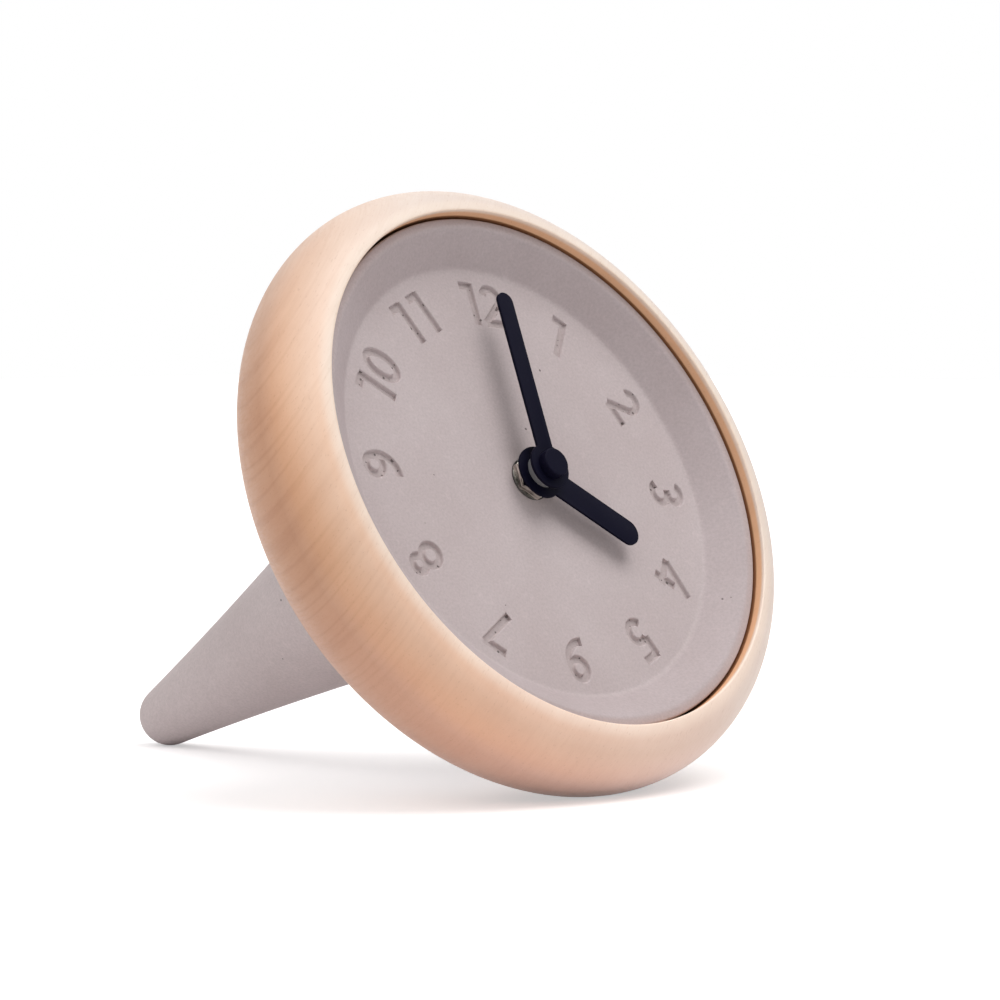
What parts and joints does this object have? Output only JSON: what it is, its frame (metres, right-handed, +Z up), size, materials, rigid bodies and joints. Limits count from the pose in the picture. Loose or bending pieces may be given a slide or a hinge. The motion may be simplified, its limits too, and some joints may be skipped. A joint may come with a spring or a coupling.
{
  "type": "table clock",
  "caption": "Table clock with a turned wooden ring, a dished concrete dial with engraved numbers, two flat hands and a concrete cone stand.",
  "frame": {"origin": "on the table, under the middle of the clock from side to side and from front to back", "axes": "+Z up, -Y towards the viewer that the dial faces, +X to that viewer's right"},
  "size_m": [0.15, 0.1714, 0.1375],
  "materials": {
    "wood": "satin oiled",
    "concrete": "matt cast",
    "hand_paint": "matt",
    "grey_plastic": "satin",
    "white_plastic": "satin",
    "black_plastic": "satin",
    "bright_brass": "turned",
    "steel": "plain",
    "plated": "nickel plated",
    "black_rubber": "matt",
    "copper_wire": "enamelled",
    "board": "satin",
    "battery_wrap": "satin"
  },
  "bodies": {
    "frame": {"wooden_ring": "wood", "dial": "concrete", "ring_magnets": "plated", "rubber_gasket": "black_rubber", "nut_washer": "plated", "fixing_nut": "bright_brass", "threaded_bush": "bright_brass", "movement_front_plate": "black_plastic", "movement_back_cover": "black_plastic", "stator": "steel", "coil_core": "steel", "coil_bobbin": "white_plastic", "coil_winding": "copper_wire", "circuit_board": "board", "quartz_crystal": "plated", "control_chip": "black_plastic", "battery": "battery_wrap", "contact_positive": "plated", "contact_negative": "plated"},
    "cone": {"stand_cone": "concrete", "cone_magnets": "plated"},
    "hour": {"hour_wheel": "white_plastic", "hour_hand": "hand_paint", "hour_collar": "grey_plastic"},
    "minute": {"minute_arbor": "steel", "minute_hand": "hand_paint", "hand_cap": "hand_paint", "clutch_spring": "steel"},
    "setting": {"minute_wheel": "white_plastic", "setting_knob": "black_plastic"},
    "idler": {"idler_wheel": "white_plastic"},
    "rotor": {"rotor_pinion": "white_plastic", "rotor_magnet": "steel"},
    "seconds": {"seconds_wheel": "white_plastic"},
    "third": {"third_wheel": "white_plastic"},
    "centre": {"centre_wheel": "white_plastic"}
  },
  "joints": [
    {"name": "cone_pull", "type": "slide", "parent": "frame", "child": "cone", "axis": [0, 0.893, -0.4501], "range_m": [0, 0.05]},
    {"name": "minute_turn", "type": "hinge", "parent": "frame", "child": "minute", "pos_m": [0, -0.04726, 0.07082], "axis": [0, 0.893, -0.4501], "continuous": true},
    {"name": "hour_turn", "type": "hinge", "parent": "frame", "child": "hour", "pos_m": [0, -0.04726, 0.07082], "axis": [0, 0.893, -0.4501], "continuous": true},
    {"name": "setting_turn", "type": "hinge", "parent": "frame", "child": "setting", "pos_m": [-0.00561, -0.04343, 0.07842], "axis": [0, 0.893, -0.4501], "continuous": true},
    {"name": "idler_turn", "type": "hinge", "parent": "frame", "child": "idler", "pos_m": [-0.00853, -0.04853, 0.06829], "axis": [0, 0.893, -0.4501], "continuous": true},
    {"name": "rotor_turn", "type": "hinge", "parent": "frame", "child": "rotor", "pos_m": [-0.01409, -0.04824, 0.06886], "axis": [0, 0.893, -0.4501], "continuous": true},
    {"name": "seconds_turn", "type": "hinge", "parent": "frame", "child": "seconds", "pos_m": [0, -0.04726, 0.07082], "axis": [0, 0.893, -0.4501], "continuous": true},
    {"name": "third_turn", "type": "hinge", "parent": "frame", "child": "third", "pos_m": [0.00751, -0.04503, 0.07525], "axis": [0, 0.893, -0.4501], "continuous": true},
    {"name": "centre_turn", "type": "hinge", "parent": "frame", "child": "centre", "pos_m": [0, -0.04726, 0.07082], "axis": [0, 0.893, -0.4501], "continuous": true}
  ],
  "couplings": [
    {"joint": "hour_turn", "follows": "minute_turn", "ratio": 0.083333},
    {"joint": "setting_turn", "follows": "minute_turn", "ratio": -0.25},
    {"joint": "rotor_turn", "follows": "idler_turn", "ratio": -6},
    {"joint": "seconds_turn", "follows": "idler_turn", "ratio": -0.2},
    {"joint": "third_turn", "follows": "idler_turn", "ratio": 0.026667},
    {"joint": "centre_turn", "follows": "idler_turn", "ratio": -0.0033333}
  ]
}
